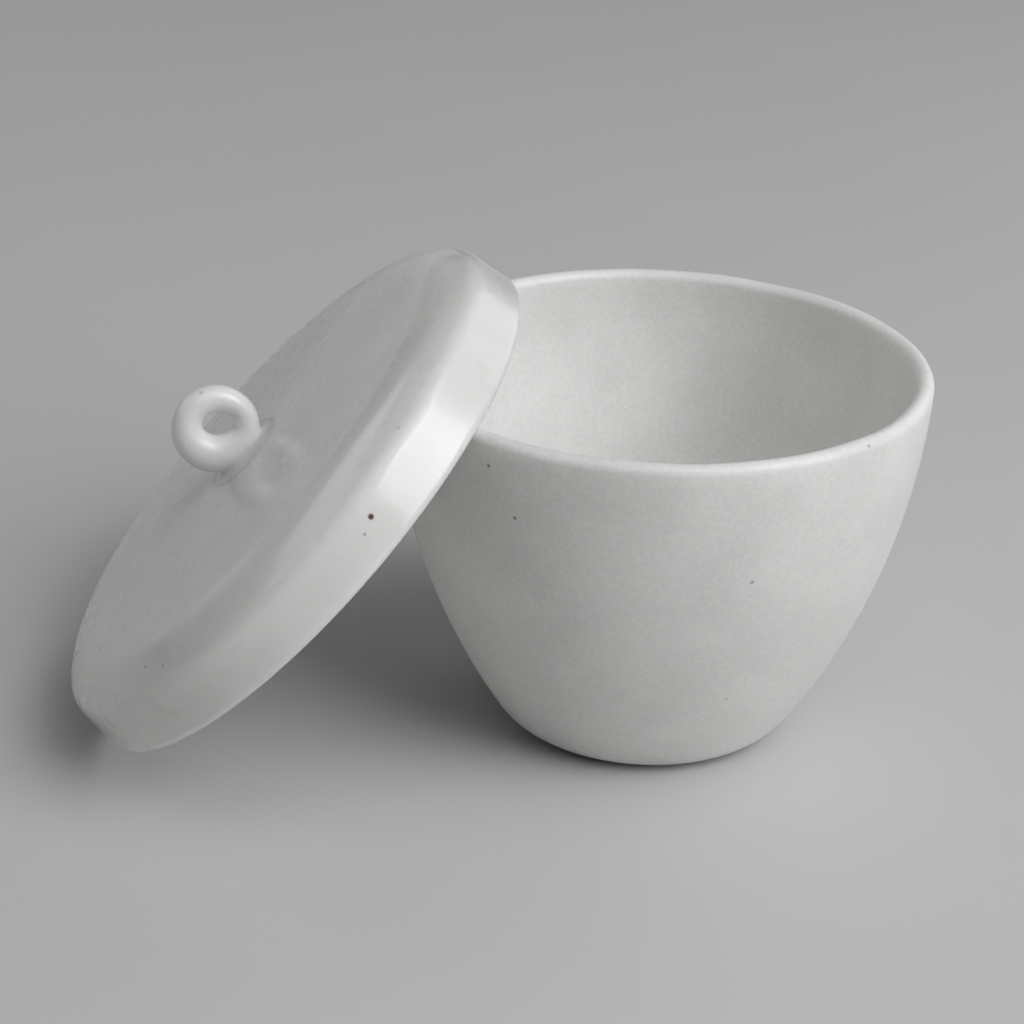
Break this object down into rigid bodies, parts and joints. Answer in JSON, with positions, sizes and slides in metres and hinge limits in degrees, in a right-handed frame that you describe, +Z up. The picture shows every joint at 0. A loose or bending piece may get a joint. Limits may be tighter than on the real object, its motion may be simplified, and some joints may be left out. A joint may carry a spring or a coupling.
{
  "type": "porcelain crucible",
  "caption": "Low, wide porcelain crucible with a round-lipped bowl on a small flat foot, and a cap lid with a ring loop that leans against its lip.",
  "frame": {"origin": "centre of the crucible's flat foot, on the surface that it stands on", "axes": "+Z up along the crucible's axis; the lid leans towards -X and its lean lies in the XZ plane; +Y completes the right-handed frame"},
  "size_m": [0.087, 0.062, 0.0486],
  "materials": {
    "crucible_glaze": "satin glazed white porcelain with a fine matt grain inside",
    "lid_glaze": "glossy glazed white porcelain",
    "loop_glaze": "glossy glazed white porcelain"
  },
  "bodies": {
    "crucible": {"crucible": "crucible_glaze"},
    "lid": {"lid": "lid_glaze", "lid_loop": "loop_glaze"}
  },
  "joints": [
    {"name": "lid_lift", "type": "slide", "parent": "crucible", "child": "lid", "axis": [0, 0, 1], "range_m": [0, 0.06]}
  ]
}
